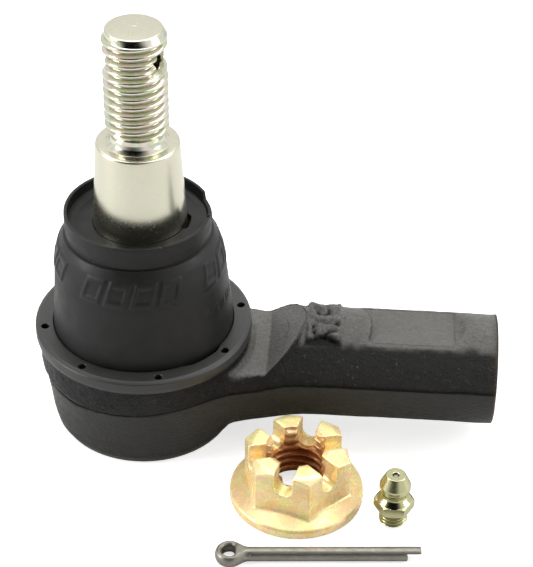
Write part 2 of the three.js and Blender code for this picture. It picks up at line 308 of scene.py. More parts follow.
class Outline:
    """Distance to a closed outline of (radius, height), read from a fine table."""

    def __init__(self, outline, cell=0.06):
        pad = 3.0
        points = np.asarray(outline, float)
        self.cell = cell
        self.low = points.min(0) - pad
        size = points.max(0) + pad - self.low
        u = self.low[0] + np.arange(int(size[0] / cell) + 2) * cell
        v = self.low[1] + np.arange(int(size[1] / cell) + 2) * cell
        u, v = np.meshgrid(u, v, indexing="ij")
        nearest = np.full(u.shape, 1e9)
        inside = np.zeros(u.shape, bool)
        for a, b in zip(points, np.roll(points, -1, 0)):
            edge = b - a
            t = ((u - a[0]) * edge[0] + (v - a[1]) * edge[1]) / max(edge @ edge, 1e-9)
            t = np.clip(t, 0, 1)
            gap = np.hypot(u - a[0] - t * edge[0], v - a[1] - t * edge[1])
            nearest = np.minimum(nearest, gap)
            crosses = (a[1] > v) != (b[1] > v)
            if edge[1]:
                inside ^= crosses & (u < a[0] + (v - a[1]) * edge[0] / edge[1])
        self.table = np.where(inside, -nearest, nearest).astype(np.float32)

    def __call__(self, r, z):
        r, z = np.broadcast_arrays(r, z)
        u = (r - self.low[0]) / self.cell
        v = (z - self.low[1]) / self.cell
        limit = self.table.shape
        uc = np.clip(u, 0, limit[0] - 1.001)
        vc = np.clip(v, 0, limit[1] - 1.001)
        i, j = uc.astype(np.int32), vc.astype(np.int32)
        fu, fv = uc - i, vc - j
        t = self.table
        value = (t[i, j] * (1 - fu) + t[i + 1, j] * fu) * (1 - fv)
        value += (t[i, j + 1] * (1 - fu) + t[i + 1, j + 1] * fu) * fv
        return value + np.hypot(u - uc, v - vc) * self.cell


def surface(name, field, low, high, step):
    """The surface where field(x, y, z) is zero, as quads about step across."""
    axes = [np.arange(a - 1.5 * step, b + 2.5 * step, step) for a, b in zip(low, high)]
    values = np.asarray(field(*np.ix_(*axes)), np.float32)
    inside = values < 0
    shape = np.array(values.shape)
    cells = tuple(shape - 1)
    count = np.zeros(cells, np.int8)
    for corner in range(8):
        count += corner_view(inside, corner)
    active = np.argwhere((count > 0) & (count < 8))
    index = np.full(cells, -1, np.int64)
    index[tuple(active.T)] = np.arange(len(active))
    points = crossing_means(values, active)
    points = np.array([a[0] for a in axes]) + points * step
    faces = crossing_faces(inside, index)
    for _ in range(3):
        points = settle(field, points, step)
    return make_object(name, points, faces)


def corner_view(grid, corner):
    """The grid's values at one of the eight corners of every cell."""
    at = [slice(1, None) if corner >> k & 1 else slice(None, -1) for k in range(3)]
    return grid[tuple(at)]


def crossing_means(values, active):
    """Each active cell's mean point where its edges cross the surface, in cells."""
    total = np.zeros((len(active), 3))
    found = np.zeros(len(active))
    for axis in range(3):
        for corner in range(4):
            offset = np.zeros(3, int)
            offset[(axis + 1) % 3] = corner & 1
            offset[(axis + 2) % 3] = corner >> 1
            end = offset.copy()
            end[axis] = 1
            a = values[tuple((active + offset).T)]
            b = values[tuple((active + end).T)]
            crosses = (a < 0) != (b < 0)
            share = np.where(crosses, a / np.where(crosses, a - b, 1), 0)
            point = np.repeat(offset[None, :].astype(float), len(active), 0)
            point[:, axis] = share
            total += point * crosses[:, None]
            found += crosses
    return active + total / found[:, None]


def crossing_faces(inside, index):
    """One quad round each grid edge that crosses the surface, facing outwards."""
    faces = []
    for axis in range(3):
        b, c = (axis + 1) % 3, (axis + 2) % 3
        here = [slice(1, -1)] * 3
        here[axis] = slice(0, -1)
        there = list(here)
        there[axis] = slice(1, None)
        first, second = inside[tuple(here)], inside[tuple(there)]
        edges = np.argwhere(first != second)
        outward = first[tuple(edges.T)]
        start = edges.copy()
        start[:, b] += 1
        start[:, c] += 1
        ring = []
        for db, dc in ((-1, -1), (0, -1), (0, 0), (-1, 0)):
            cell = start.copy()
            cell[:, b] += db
            cell[:, c] += dc
            ring.append(index[tuple(cell.T)])
        quad = np.stack(ring, 1)
        quad[~outward] = quad[~outward][:, ::-1]
        faces.append(quad)
    return np.concatenate(faces)


def settle(field, points, step):
    """Moves points onto the surface along the field's slope."""
    h = 0.25 * step
    x, y, z = points.T
    value = field(x, y, z)
    slope = np.stack([
        field(x + h, y, z) - field(x - h, y, z),
        field(x, y + h, z) - field(x, y - h, z),
        field(x, y, z + h) - field(x, y, z - h),
    ], 1) / (2 * h)
    length = np.maximum((slope ** 2).sum(1), 0.05)
    move = np.clip(value / length, -0.5 * step, 0.5 * step)
    return points - move[:, None] * slope


# ---- materials ----

def set_range(node, low, high, new_low, new_high):
    """Sets a Map Range node so that low becomes new_low and high becomes new_high."""
    names = ("From Min", "From Max", "To Min", "To Max")
    for name, value in zip(names, (low, high, new_low, new_high)):
        node.inputs[name].default_value = value


class Finish:
    """A Principled material and short ways to add procedural detail to it."""

    def __init__(self, name, color, roughness, metallic=0.0, **sockets):
        self.material = bpy.data.materials.new(name)
        self.material.use_nodes = True
        self.tree = self.material.node_tree
        self.shader = self.tree.nodes["Principled BSDF"]
        self.shader.inputs["Base Color"].default_value = (*color, 1)
        self.shader.inputs["Roughness"].default_value = roughness
        self.shader.inputs["Metallic"].default_value = metallic
        for socket, value in sockets.items():
            self.shader.inputs[socket.replace("_", " ")].default_value = value
        self.place = self.node("ShaderNodeTexCoord").outputs["Object"]
        self.height = None

    def node(self, kind, **values):
        made = self.tree.nodes.new(kind)
        for key, value in values.items():
            setattr(made, key, value)
        return made

    def link(self, a, b):
        self.tree.links.new(a, b)

    def noise(self, size, detail=3, rough=0.55, distortion=0.0):
        """Noise whose lumps are about size metres across, as a 0 to 1 value."""
        texture = self.node("ShaderNodeTexNoise")
        texture.inputs["Scale"].default_value = 1 / size
        texture.inputs["Detail"].default_value = detail
        texture.inputs["Roughness"].default_value = rough
        texture.inputs["Distortion"].default_value = distortion
        self.link(self.place, texture.inputs["Vector"])
        return texture.outputs["Fac"]

    def attribute(self, name):
        return self.node("ShaderNodeAttribute", attribute_name=name).outputs["Fac"]

    def remap(self, value, low, high, new_low=0.0, new_high=1.0):
        made = self.node("ShaderNodeMapRange", clamp=True)
        set_range(made, low, high, new_low, new_high)
        self.link(value, made.inputs["Value"])
        return made.outputs["Result"]

    def wander(self, size, detail, low, high):
        """A value that drifts from low to high over lumps about size metres across."""
        return self.remap(self.noise(size, detail), 0.3, 0.7, low, high)

    def math(self, operation, a, b):
        made = self.node("ShaderNodeMath", operation=operation)
        for socket, value in zip(made.inputs, (a, b)):
            if hasattr(value, "is_linked"):
                self.link(value, socket)
            else:
                socket.default_value = value
        return made.outputs["Value"]

    def colors(self, value, stops):
        """A colour ramp from (position, colour) stops."""
        made = self.node("ShaderNodeValToRGB")
        elements = made.color_ramp.elements
        while len(elements) < len(stops):
            elements.new(0.5)
        for element, (position, color) in zip(elements, stops):
            element.position = position
            element.color = (*color, 1)
        self.link(value, made.inputs["Fac"])
        return made.outputs["Color"]

    def mix(self, factor, a, b):
        """Colour a where the factor is 0, and b where it is 1."""
        made = self.node("ShaderNodeMix", data_type="RGBA")
        for name, value in (("Factor", factor), ("A", a), ("B", b)):
            socket = made.inputs[name]
            if hasattr(value, "is_linked"):
                self.link(value, socket)
            elif isinstance(value, tuple):
                socket.default_value = (*value, 1)
            else:
                socket.default_value = value
        return made.outputs["Result"]

    def color(self, value):
        self.link(value, self.shader.inputs["Base Color"])

    def roughness(self, value):
        self.link(value, self.shader.inputs["Roughness"])

    def bump(self, value, depth, strength=1.0):
        """Adds relief of depth metres, on top of any relief already there."""
        made = self.node("ShaderNodeBump")
        made.inputs["Strength"].default_value = strength
        made.inputs["Distance"].default_value = depth
        self.link(value, made.inputs["Height"])
        if self.height is not None:
            self.link(self.height, made.inputs["Normal"])
        self.height = made.outputs["Normal"]
        self.link(self.height, self.shader.inputs["Normal"])


def black_forging():
    """Thin black paint on forged steel. The mesh says where it is cut, level, dusted and lit from above
    (painted top light), rusty or grainy.
    """
    finish = Finish("black_forging", (0.02, 0.02, 0.019), 0.5, Specular_IOR_Level=0.28)
    grain = finish.attribute("grain")
    skin = finish.mix(finish.noise(0.009, 4), (0.003, 0.003, 0.0025), (0.0065, 0.0063, 0.0053))
    # painted glints: light flecks in the forging's grain
    glint_specks = finish.math("MULTIPLY", finish.remap(finish.noise(0.0008, 2), 0.66, 0.76), grain)
    skin = finish.mix(glint_specks, skin, (0.09, 0.088, 0.08))
    # lighter below the parting line: partly the smoother lower die half, partly painted reflected floor
    # light
    skin = finish.mix(finish.attribute("below"), skin, (0.031, 0.0305, 0.0265))
    # tone for dusting and for painted top light on upward faces
    dust = finish.noise(0.0009, 4, rough=0.75)
    dust = finish.mix(dust, (0.088, 0.086, 0.077), (0.26, 0.255, 0.235))
    skin = finish.mix(finish.attribute("dusty"), skin, dust)
    from_parting = finish.math("ABSOLUTE", finish.attribute("from_parting"), 0)
    # painted shade: a near-black line along the groove of the die's parting line
    seam_shade = finish.remap(from_parting, 0.17, 0.36, 1, 0)
    seam_shade = finish.math("MULTIPLY", seam_shade, finish.attribute("side"))
    skin = finish.mix(finish.math("MULTIPLY", seam_shade, 0.9), skin, (0.001, 0.001, 0.001))
    # painted shade: near black in the cast mark's creases and hollow
    skin = finish.mix(finish.attribute("pit"), skin, (0.0015, 0.0015, 0.001))
    cut_face = finish.mix(finish.noise(0.0009, 3), (0.085, 0.081, 0.071), (0.125, 0.119, 0.105))
    tone = finish.mix(finish.attribute("machined"), skin, cut_face)
    finish.color(finish.mix(finish.attribute("rust"), tone, (0.08, 0.035, 0.014)))
    dull_seam = finish.math("MULTIPLY", seam_shade, 0.4)
    finish.roughness(finish.math("ADD", finish.wander(0.002, 3, 0.28, 0.42), dull_seam))
    coarse = finish.noise(0.0009, 4, rough=0.7)
    fine = finish.noise(0.0004, 3, rough=0.7)
    finish.bump(finish.math("MULTIPLY", coarse, finish.remap(grain, 0, 1, 0.12, 1)), 0.0012)
    finish.bump(finish.math("MULTIPLY", fine, finish.remap(grain, 0, 1, 0.3, 1)), 0.0005)
    return finish.material


def black_rubber():
    finish = Finish("black_rubber", (0.02, 0.02, 0.019), 0.5, Specular_IOR_Level=0.32)
    bloom = finish.noise(0.012, 4)
    finish.color(finish.mix(bloom, (0.0045, 0.0045, 0.004), (0.009, 0.009, 0.0083)))
    finish.roughness(finish.wander(0.004, 4, 0.44, 0.56))
    finish.bump(finish.noise(0.0004, 3), 0.00003, 0.5)
    finish.bump(finish.noise(0.003, 2), 0.00012, 0.4)
    return finish.material


def satin_black():
    finish = Finish("satin_black", (0.03, 0.03, 0.03), 0.42)
    finish.color(finish.mix(finish.noise(0.006, 4), (0.02, 0.02, 0.019), (0.032, 0.032, 0.03)))
    finish.roughness(finish.wander(0.002, 4, 0.36, 0.5))
    finish.bump(finish.noise(0.0003, 3), 0.00003, 0.5)
    return finish.material


def zinc_steel():
    """Zinc plate with a faint yellow passivation. The mesh says where it is bright, satin or in the
    thread roots, which get painted shade.
    """
    finish = Finish("pale_zinc", (0.7, 0.69, 0.58), 0.3, 1.0)
    tint = finish.noise(0.0042, 3, distortion=0.8)
    plate = finish.colors(tint, [
        (0.3, (0.6, 0.61, 0.47)), (0.44, (0.7, 0.69, 0.6)), (0.5, (0.72, 0.6, 0.52)),
        (0.56, (0.58, 0.65, 0.47)), (0.7, (0.7, 0.68, 0.6)),
    ])
    even = finish.remap(finish.attribute("satin"), 0.3, 0.6, 0, 0.8)
    plate = finish.mix(even, plate, (0.65, 0.63, 0.5))
    plate = finish.mix(finish.attribute("yellow"), plate, (0.5, 0.49, 0.25))
    # painted shade in the roots of the threads
    shaded = finish.remap(finish.attribute("sunk"), 0, 1, 0, 0.75)
    plate = finish.mix(shaded, plate, (0.3, 0.27, 0.17))
    finish.color(plate)
    matt = finish.remap(finish.attribute("satin"), 0, 1, 0.14, 0.3)
    finish.roughness(finish.math("ADD", matt, finish.wander(0.0005, 4, -0.02, 0.04)))
    finish.bump(finish.noise(0.0011, 3), 0.00001, 0.5)
    return finish.material


def gold_zinc():
    """Yellow chromate over zinc, with its pink and green shimmer."""
    finish = Finish("gold_zinc", (0.85, 0.62, 0.25), 0.22, 0.35)
    shimmer = finish.noise(0.006, 1, distortion=1.0)
    plate = finish.colors(shimmer, [
        (0.3, (1, 0.73, 0.29)), (0.42, (1, 0.72, 0.43)), (0.52, (0.93, 0.86, 0.36)),
        (0.6, (1, 0.71, 0.4)), (0.72, (1, 0.72, 0.26)),
    ])
    # the thread attribute carries painted shade deeper in the nut's bore
    finish.color(finish.mix(finish.attribute("thread"), plate, (0.42, 0.15, 0.035)))
    finish.roughness(finish.wander(0.0015, 4, 0.2, 0.34))
    finish.bump(finish.noise(0.0014, 2), 0.00001, 0.5)
    return finish.material


def plain_steel():
    finish = Finish("plain_steel", (0.25, 0.25, 0.23), 0.4, 1.0)
    finish.color(finish.mix(finish.noise(0.003, 4), (0.18, 0.168, 0.14), (0.31, 0.295, 0.255)))
    finish.roughness(finish.wander(0.001, 4, 0.4, 0.58))
    finish.bump(finish.noise(0.0004, 3), 0.00004, 0.6)
    return finish.material


def spring_steel():
    finish = Finish("spring_steel", (0.18, 0.18, 0.19), 0.35, 1.0)
    finish.color(finish.mix(finish.noise(0.002, 3), (0.13, 0.13, 0.14), (0.24, 0.24, 0.25)))
    finish.roughness(finish.wander(0.0008, 3, 0.28, 0.42))
    return finish.material


def bearing_plastic():
    finish = Finish("bearing_plastic", (0.68, 0.64, 0.53), 0.45)
    finish.color(finish.mix(finish.noise(0.006, 3), (0.62, 0.58, 0.46), (0.72, 0.68, 0.57)))
    finish.bump(finish.noise(0.0005, 2), 0.00003, 0.4)
    return finish.material


MAKERS = (black_forging, black_rubber, satin_black, zinc_steel, gold_zinc, plain_steel, spring_steel,
          bearing_plastic)
FINISHES = {make.__name__: make() for make in MAKERS}


def dress(piece, body, slot, node):
    """Gives a piece its finish and the body that it moves with, in place of the CAD node."""
    piece.data.materials.clear()
    piece.data.materials.append(FINISHES[slot])
    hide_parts(node)
    if body:
        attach(piece, body)


# ---- forged housing ----

AXIS = -6.0                    # outlines of solid bars run past the axis to here
SOCKET_BASE_R = 20.9
SOCKET_TOP = 29.5
BORE_R = 17.05
MOUTH_R = 13.1                 # the bore's narrowest place, over the ball
MOUTH_Z = 26.3
PLATE_R = 17.9
PLATE_FOOT, PLATE_TOP = 1.35, 3.4
FLAT_HALF = 11.0
FLAT_START, FLAT_END = 51.5, 72.2
ROD_HOLE_R = 7.2
ROD_HOLE_DEPTH = 46
ROD_PITCH = 1.5
ROD_THREAD_DEPTH = 0.85
NECK_FLAT = 21.2               # height of the neck's flat top
NECK_FLAT_END = 29.1           # where that top starts to slope up to the shank
NECK_RIDGE = 0.3
COS_45 = 0.707
NECK_X = (10, 14, 21, 25, 30, 35, 41, 90)
NECK_HALF_WIDTH = (20, 18.2, 15.4, 14.1, 12.95, SHANK_R, SHANK_R, SHANK_R)
NECK_RISE = (7, 7, 7.8, 9, 11.2, 12.6, SHANK_R, SHANK_R)
NECK_FOOT = (1.5, 1.6, 1.8, 2.4, 2.6, 3.3, 3.77, 3.77)
PARTING_X = (-30, -15, 0, 10, 20, 28, 37, 90)
PARTING_Z = (15.3, 15.3, 16.2, 16.9, 17.3, 17.3, 18.7, 19.0)
MARK_X = (38.0, 46.0)
MARK_Y = (-7.2, 8.2)
MARK_FOOT = 24
MARK_RISE = 0.3
HOUSING_STEP = 0.42


def eased(x, places, values, reach=1.5):
    """Interpolates between values at places, with its corners eased over reach millimetres."""
    step = 0.25
    fine = np.arange(places[0], places[-1], step)
    width = int(reach / step)
    weights = np.hanning(2 * width + 3)[1:-1]
    padded = np.pad(np.interp(fine, places, values), width, mode="edge")
    return np.interp(x, fine, np.convolve(padded, weights / weights.sum(), "valid"))


def flat_start(y):
    """The wrench flat's inner end runs slantwise."""
    return FLAT_START - y * 0.17


def parting_height(x):
    """Height of the line where the two halves of the forging die met."""
    return eased(x, PARTING_X, PARTING_Z, 3)


def neck_and_shank(x, y, z):
    """Distance to the squared neck that becomes the round shank."""
    half_width = eased(x, NECK_X, NECK_HALF_WIDTH)
    down = SHANK_Z - eased(x, NECK_X, NECK_FOOT)
    tall = np.where(z > SHANK_Z, eased(x, NECK_X, NECK_RISE), down)
    power = np.interp(x, [25, 38], [2.35, 2.0])
    across, up = np.abs(y) / half_width, np.abs(z - SHANK_Z) / tall
    section = np.maximum((across ** power + up ** power) ** (1 / power), 0.01)
    steepness = np.hypot(across / half_width, up / tall) / section
    return np.maximum((section - 1) / np.maximum(steepness, 0.02), NECK_X[0] - x)


def mark_patch(x, y, z):
    """Distance to the low patch on the shank that carries the cast mark."""
    beside = np.maximum(np.maximum(MARK_X[0] - x, x - MARK_X[1]),
                        np.maximum(MARK_Y[0] - y, y - MARK_Y[1]))
    above = np.hypot(y, z - SHANK_Z) - SHANK_R - MARK_RISE
    return np.maximum(overlap(above, beside, 0.9), MARK_FOOT - z)


def neck_cut(neck, x, z):
    """Takes the flat top and the slope behind it out of the neck, and raises the slope's edge."""
    slant = ((x - NECK_FLAT_END) - (z - NECK_FLAT)) * COS_45
    neck = neck - NECK_RIDGE * np.exp(-(slant / 0.5) ** 2) * (z > NECK_FLAT - 1)
    return take(neck, overlap(NECK_FLAT - z, slant, 0.4), 0.15)


def wrench_flats(x, y, z):
    """Distance to what the two wrench flats take away."""
    above_flat = np.abs(z - SHANK_Z) - FLAT_HALF
    flats = overlap(-above_flat, (flat_start(y) - x + above_flat) * 0.7, 0.3)
    return overlap(flats, (x - FLAT_END) * 0.5 - above_flat * 0.87, 0.5)


def rod_hole(x, y, z):
    """Distance to the shank's threaded hole and its chamfered mouth."""
    away = np.hypot(y, z - SHANK_Z)
    turn = np.arctan2(z - SHANK_Z, y) / (2 * math.pi)
    depth = ROD_THREAD_DEPTH * thread_depth(x / ROD_PITCH + turn, 0.15, 0.85)
    depth = depth * ramp(SHANK_END - 1.5 - x, 0, 1) * ramp(x, 40, 42)
    hole = np.maximum(away - (ROD_HOLE_R + depth), SHANK_END - ROD_HOLE_DEPTH - x)
    mouth = away - (ROD_HOLE_R + 1.0 + (x - SHANK_END))
    return np.minimum(hole, np.maximum(mouth, SHANK_END - 3 - x))


def housing_field():
    ring_seat = RING_FOOT - 0.05
    socket = Outline(rounded([
        (AXIS, 0), (SOCKET_BASE_R - 0.3, 0), (SOCKET_BASE_R, 1.5), (21.5, 1.8), (22.2, 5), (22.7, 10),
        (23.4, 15.2), (SOCKET_R - 0.1, 17.2), (SOCKET_R, 19), (SOCKET_R, ring_seat),
        (BORE_R + 0.15, ring_seat, 0.1), (16.6, SOCKET_TOP), (14.2, SOCKET_TOP),
        (MOUTH_R, MOUTH_Z), (AXIS, MOUTH_Z),
    ], 0.5))
    cavity = Outline([
        (AXIS, -3), (16, -3), (16, PLATE_FOOT - 0.05), (PLATE_R + 0.05, PLATE_FOOT - 0.05),
        (PLATE_R + 0.05, PLATE_TOP + 0.05), (BORE_R, PLATE_TOP + 0.05),
        (BORE_R, 22.3), (MOUTH_R, MOUTH_Z), (14.4, 31), (AXIS, 31),
    ])

    def field(x, y, z):
        radius = np.hypot(x, y)
        neck = join(neck_and_shank(x, y, z), mark_patch(x, y, z), 0.5)
        neck = overlap(neck_cut(neck, x, z), x - SHANK_END, 0.5)
        whole = join(socket(radius, z), neck, 2.4)
        whole = take(whole, wrench_flats(x, y, z), 0.5)
        whole = take(whole, cavity(radius, z), 0.15)
        return take(whole, rod_hole(x, y, z), 0.15)

    return field


def mark_relief(points):
    """Height of the cast mark's plain lumps at each point, and how deep in a crease it lies, which is
    painted as shade.
    """
    x, y, z = points.T
    shown = between(x, *MARK_X, 0.2, 0.8) * between(y, *MARK_Y, 0.2, 0.8) * (z > MARK_FOOT)
    creases = np.abs(noise(points * (0.75, 1, 1), 2.3, 5)) * 2.2
    lumps = np.clip(creases, 0, 1.1) - 0.55 + 0.4 * noise(points, 0.8, 4)
    hollow = np.hypot((x - 42.2) / 4, y + 6 + 0.12 * (x - 42) ** 2)
    hollow = ramp(1 - hollow, 0, 0.7) * (z > MARK_FOOT)
    relief = shown * (np.clip(lumps, -0.7, 0.8) + 0.1) - 0.9 * hollow
    return relief, np.maximum(shown * ramp(-lumps, 0.2, 0.6), hollow)


def forged_housing():
    piece = surface("forged_housing", housing_field(), housing_low, housing_high, HOUSING_STEP)
    mesh = piece.data
    points, normals = points_of(mesh), normals_of(mesh)
    x, y, z = points.T
    up = normals[:, 2]
    radius = np.hypot(x, y)
    away = np.hypot(y, z - SHANK_Z)
    in_hole = ramp(ROD_HOLE_R + 2.2 - away, 0, 0.3) * (x > 33)
    foot = ramp(1.7 - z, 0, 0.3) * (radius < SOCKET_BASE_R + 0.3)
    end = ramp(x, SHANK_END - 0.6, SHANK_END - 0.2)
    machined = np.clip(ramp(BORE_R + 1.5 - radius, 0, 0.5) + in_hole + foot + end, 0, 1)
    level = ramp(np.abs(up), 0.96, 0.995)
    flats = level * (np.abs(np.abs(z - SHANK_Z) - FLAT_HALF) < 0.3)
    flats *= (x > flat_start(y) - 0.3) * (x < FLAT_END + 0.3)
    neck = level * (np.abs(z - NECK_FLAT) < 0.3) * (x < NECK_FLAT_END + 1)
    slanted = ramp(up - normals[:, 0], 1.15, 1.35) * (z > NECK_FLAT) * (x < 40) * (x > 28)
    wander = 0.3 * noise(points * (1, 1, 0), 6, 8) + 0.08 * noise(points * (1, 1, 0), 1.5, 9)
    from_parting = z - parting_height(x) - wander
    on_side = (1 - machined) * (radius > SOCKET_R - 3.5)
    # below also paints the lower half lighter, partly as painted reflected floor light
    below = ramp(-from_parting, 0, 0.3)
    grain = (1 - machined) * (1 - 0.8 * flats) * (1 - 0.6 * neck)
    grain *= (1 - 0.75 * slanted) * (1 - 0.75 * below)
    relief = grain * (0.08 * noise(points, 1.0, 1) + 0.05 * noise(points, 2.4, 2))
    relief += (1 - machined) * (0.12 * noise(points, 7, 3) - 0.12)
    relief -= on_side * (0.22 * np.exp(-(from_parting / 0.4) ** 2) - 0.1 * below)
    mark, pit = mark_relief(points)
    relief += mark
    set_points(mesh, points + normals * relief[:, None])
    # upward faces, the slope behind the neck flat and the wrench flat's inner ramp are painted lighter:
    # partly dusting, partly painted top light
    dusty = np.maximum(ramp(up + 0.03 * noise(points, 1.5, 6), 0.76, 0.9), 0.7 * slanted)
    inward = flat_start(y) - x
    on_ramp = ramp(-inward, -2.6, -2.2) * ramp(inward, -0.4, 0) * (z > SHANK_Z + FLAT_HALF - 0.2)
    dusty = np.maximum(dusty, ramp(up, 0.45, 0.75) * np.maximum(x < 27, on_ramp))
    dusty = dusty * (1 - 0.35 * flats) * (1 - machined)
    dusty = dusty * (z > 20) * ramp(radius, SOCKET_R, SOCKET_R + 1)
    rust = ramp(x, SHANK_END - 2.5, SHANK_END + 0.3) * (0.3 + 0.4 * noise(points, 1.6, 7))
    paint(mesh, machined=machined, dusty=dusty, grain=grain, pit=pit, rust=rust, side=on_side,
          below=below * on_side, from_parting=np.clip(from_parting, -5, 5))
    dress(piece, "housing", "black_forging", "socket_housing")


# ---- cover plate, ring and boot ----

PORT_R = 2.9
PORT_X = -7.5


def closing_plate():
    outline = rounded([
        (0.01, 0), (13.6, 0), (15.3, PLATE_FOOT), (PLATE_R, PLATE_FOOT), (PLATE_R, PLATE_TOP),
        (14.9, PLATE_TOP), (13, 2.3), (0.01, 2.3),
    ], 0.35)
    piece = turned("closing_plate", outline, 160)
    port = turned("port_cut", [(PORT_R, -1), (PORT_R, PLATE_TOP + 0.6)], 48, closed=False)
    port.location.x = PORT_X * MM
    cut(piece, [port])
    dress(piece, "housing", "plain_steel", "cover_plate")


RING_INNER_R = 20.88
RING_STEP_R = 22.4             # below the ring's inner lip, where the boot's foot is held
RING_STEP_Z = 25.2
RING_HOLES = 8
RING_HOLE_R = 0.92
RING_HOLE_CIRCLE = 22.9
RING_HOLE_TURN = math.radians(14.9)
GAP_AT, GAP_HALF = -43, 17     # degrees round the axis where the ring stands off the boot


def ring_gap(r, angle, z):
    """The ring stands off the boot a little over a short stretch."""
    from_gap = (np.degrees(angle) - GAP_AT + 180) % 360 - 180
    return r + 0.6 * ramp(GAP_HALF - np.abs(from_gap), 0, 8) * (r < 21.3)


def boot_ring():
    outline = rounded([
        (RING_STEP_R, RING_FOOT, 0.1), (RING_R - 0.25, RING_FOOT, 0.3), (RING_R, RING_FOOT + 1),
        (RING_R, RING_TOP - 0.5, 0.5), (RING_R - 0.9, RING_TOP, 0.5),
        (RING_INNER_R + 0.15, RING_TOP, 0.1), (RING_INNER_R, RING_TOP - 0.2, 0.1),
        (RING_INNER_R, RING_STEP_Z, 0.1), (RING_STEP_R, RING_STEP_Z, 0.1),
    ], 0.3)
    piece = turned("boot_ring", dense(outline, 0.8), 256, radius_of=ring_gap)
    drill = [(RING_HOLE_R, RING_FOOT - 1), (RING_HOLE_R, RING_TOP - 0.1), (1.1, RING_TOP + 0.1)]
    holes = []
    for i in range(RING_HOLES):
        angle = RING_HOLE_TURN + i * 2 * math.pi / RING_HOLES
        hole = turned(f"ring_hole_{i}", drill, 20, closed=False)
        hole.location.x = RING_HOLE_CIRCLE * math.cos(angle) * MM
        hole.location.y = RING_HOLE_CIRCLE * math.sin(angle) * MM
        holes.append(hole)
    cut(piece, holes)
    dress(piece, "housing", "satin_black", "boot_retaining_ring")


RIM_R = 16.5
RIM_INNER_R = 15.7
RIM_TOP = 57.3
RIM_FOOT = 51.6
BOOT_FLOOR = 54.6              # the recessed top round the taper
BOOT_FOOT_R = 22.25
BOOT_FOOT_TOP = 25.1
BOOT_LEAN = 0.55               # how far the rim leans towards -X
BAND_LOW, BAND_HIGH = 43.4, 49.6
TABS_AROUND = 20               # every fifth is left out
TICKS_LOW, TICKS_HIGH = 35.6, 38.2
TICK_STEP = 2.4                # degrees; every fourth is left out


def boot_relief(angle, z):
    """Plain slanted frames round the bell, and a short row of plain ticks below, raised a little."""
    degrees = np.degrees(angle)
    turn = (degrees + 128 - (z - BAND_LOW) * 0.9) % 360 / 360 * TABS_AROUND
    across = np.abs(turn % 1 - 0.5)
    shown = np.floor(turn) % 5 < 4
    tab = ramp(0.43 - across, 0, 0.04) * between(z, BAND_LOW, BAND_HIGH, 0, 0.4)
    window = ramp(0.27 - across, 0, 0.04) * between(z, BAND_LOW + 1.3, BAND_HIGH - 1.3, 0, 0.4)
    tick_turn = (degrees + 360) % 360 / TICK_STEP
    ticks = ramp(0.3 - np.abs(tick_turn % 1 - 0.5), 0, 0.15) * (np.floor(tick_turn) % 4 > 0)
    ticks *= between(z, TICKS_LOW, TICKS_HIGH, 0, 0.4) * (np.abs(degrees % 360 - 340) < 24)
    return 0.3 * (tab - 0.85 * window) * shown + 0.15 * ticks


def boot_shape(r, angle, z):
    """Adds the relief to the bell's outside, and opens the lip a little on one side."""
    outer = (z > 30) & (z < RIM_FOOT)
    outer &= r > np.interp(z, [26, 32, 38, 44, 49], [19.4, 19.4, 18.8, 18.3, 17.2])
    degrees = np.degrees(angle) % 360
    opened = ramp(degrees, 338, 342) + ramp(-degrees, -14, -6)
    lip = ramp(12.4 - r, 0, 0.6) * ramp(z, 53.2, 53.8)
    return r + outer * boot_relief(angle, z) + lip * opened * 0.75


def worn_boot(points):
    """Tears a piece and two nicks out of the rim, tips the recessed top and leans the bell."""
    x, y, z = points.T
    angle = np.degrees(np.arctan2(y, x))
    radius = np.hypot(x, y)
    rim = ramp(radius, RIM_INNER_R - 0.5, RIM_INNER_R - 0.1) * ramp(z, 55.2, 56.6)
    missing = between(angle, -4, 30, 0, 3)
    nicks = np.exp(-((angle + 7) / 1.2) ** 2) * 0.5 + np.exp(-((angle + 64) / 1.0) ** 2) * 0.25
    points[:, 2] -= rim * (missing * 1.9 + nicks)
    points[:, 2] += 0.03 * x * ramp(z, 50, 54) * (radius < RIM_INNER_R - 0.3)
    points[:, 0] -= BOOT_LEAN * ramp(z, 27.5, 56) * ramp(radius, 11.5, 14)
    return points


def rubber_boot():
    foot = RING_FOOT + 0.05
    inner_foot_r = BORE_R + 0.35
    lip_r = taper_radius(BOOT_FLOOR) + 0.06
    outline = rounded([
        (inner_foot_r, foot, 0.1), (BOOT_FOOT_R, foot, 0.1), (BOOT_FOOT_R, BOOT_FOOT_TOP, 0.1),
        (20.8, BOOT_FOOT_TOP, 0.1), (20.75, 28), (20.5, 32, 8), (20.0, 37, 9), (19.6, 42, 9),
        (18.9, 46.5, 8), (17.9, 49.8, 5), (16.9, RIM_FOOT, 1.4),
        (16.2, RIM_FOOT + 0.15, 0.1), (RIM_R - 0.1, RIM_FOOT + 0.5, 0.2), (RIM_R + 0.1, 54.5),
        (RIM_R, RIM_TOP, 0.3), (RIM_INNER_R, RIM_TOP, 0.25), (RIM_INNER_R - 0.1, BOOT_FLOOR + 0.2, 0.4),
        (14, BOOT_FLOOR - 0.1), (lip_r, BOOT_FLOOR, 0.25), (taper_radius(53) + 0.05, 53), (11.6, 52.2),
        (15.2, 52.2), (16.4, 49), (17.4, 44), (18, 38), (18.6, 32), (18.4, 26.4), (inner_foot_r, 25.4),
    ], 0.6, 6)
    piece = turned("rubber_boot", dense(outline, 0.36), 480, radius_of=boot_shape, smooth_angle=60)
    mesh = piece.data
    points = worn_boot(points_of(mesh))
    waves = 0.05 * noise(points, 7, 11) + 0.02 * noise(points, 2.5, 12)
    set_points(mesh, points + normals_of(mesh) * waves[:, None])
    dress(piece, None, "black_rubber", "dust_boot")
    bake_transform(piece)


# ---- ball stud ----

